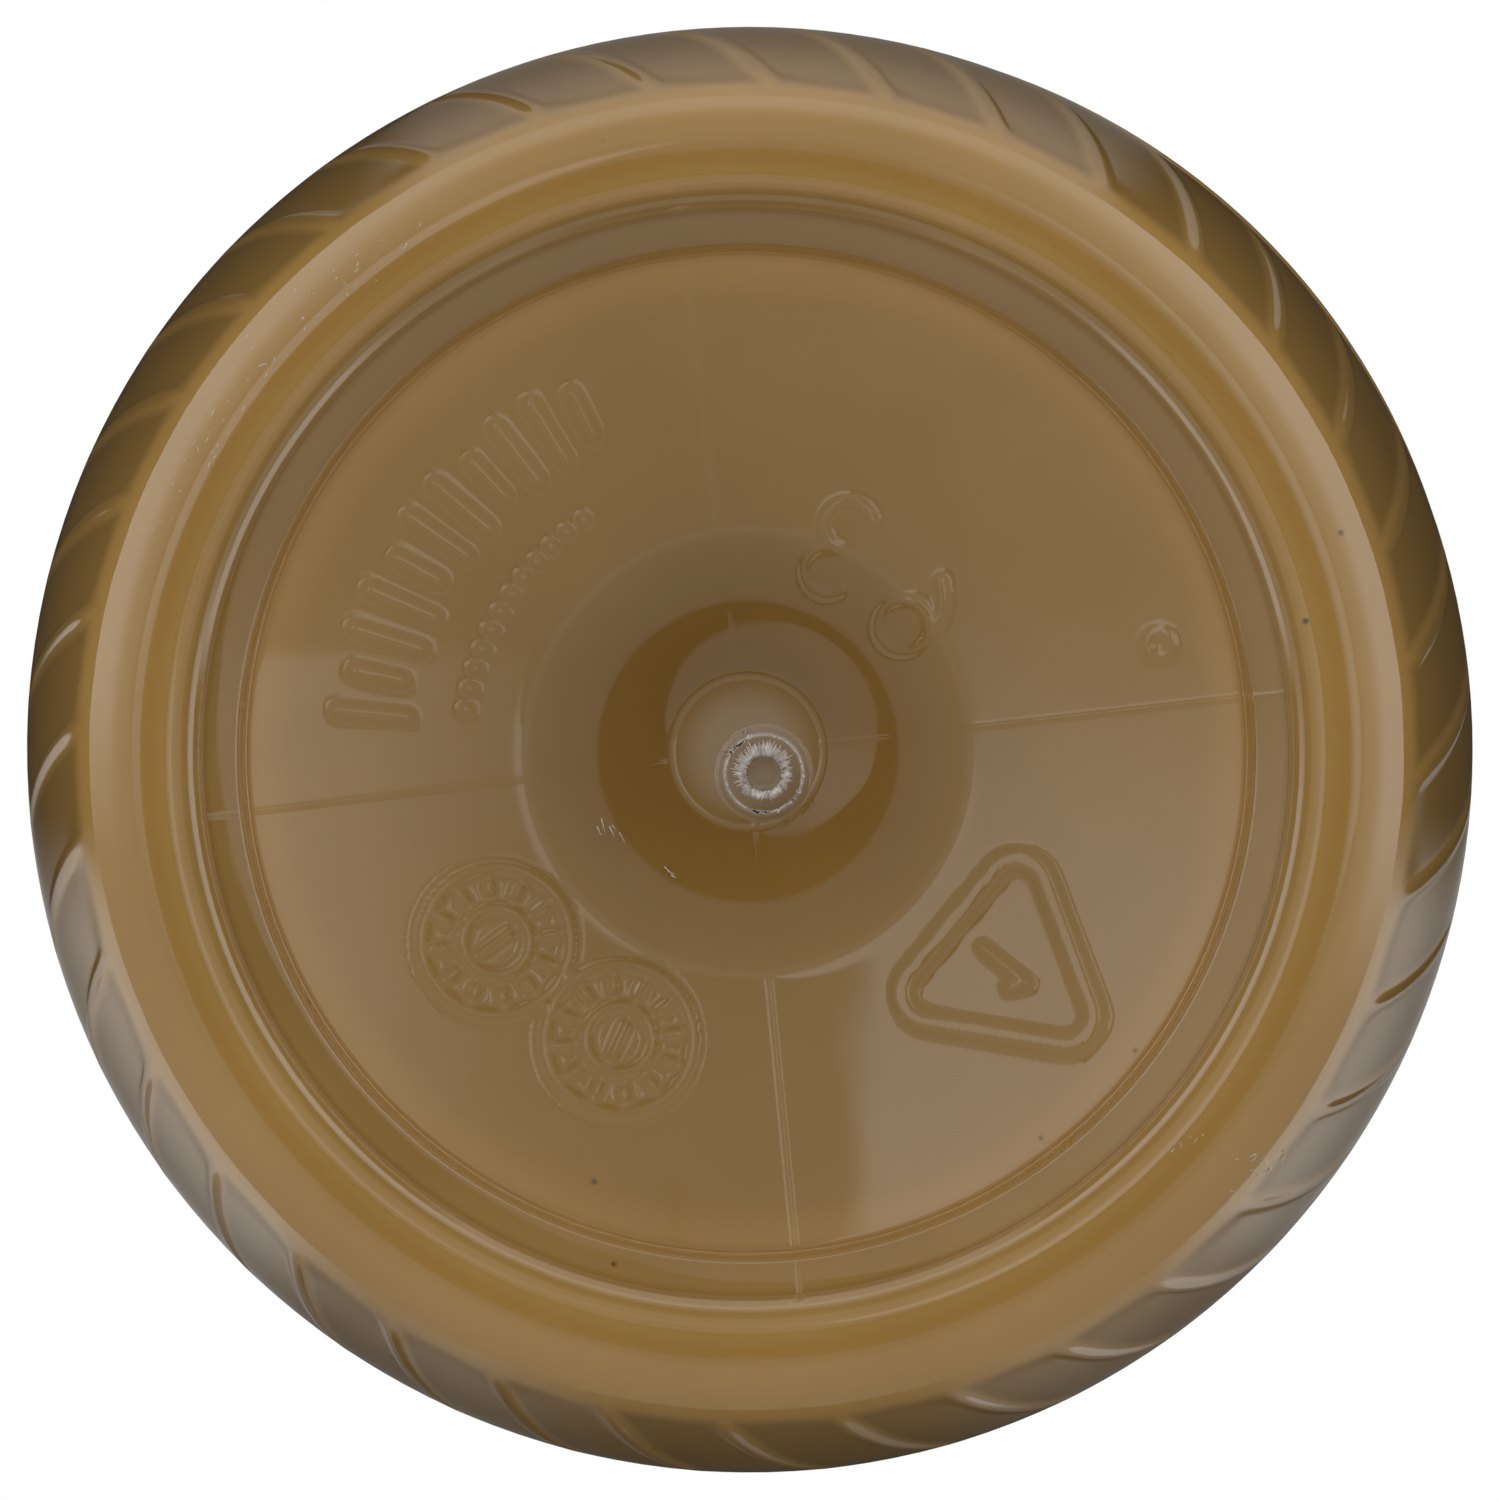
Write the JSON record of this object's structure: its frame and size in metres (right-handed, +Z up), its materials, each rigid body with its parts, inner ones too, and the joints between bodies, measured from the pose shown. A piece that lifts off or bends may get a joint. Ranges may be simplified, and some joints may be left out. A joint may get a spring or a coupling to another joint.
{
  "type": "jar of sunflower seed butter",
  "caption": "Clear round plastic jar with slanted flutes at its heel and shoulder and a recessed base, full of tan seed butter, under a grooved screw cap.",
  "frame": {"origin": "centre of the base, on the plane that the jar stands on", "axes": "+Z up from the base to the cap, -Y the front, +X to the right seen from the front"},
  "size_m": [0.08, 0.08, 0.1047],
  "materials": {
    "clear_plastic": "clear glossy moulded PET",
    "butter": "smooth tan-brown paste, pressed wet against the wall",
    "cap_plastic": "satin white moulded plastic"
  },
  "bodies": {
    "root": {"jar": "clear_plastic", "butter": "butter", "cap": "cap_plastic"}
  },
  "joints": []
}
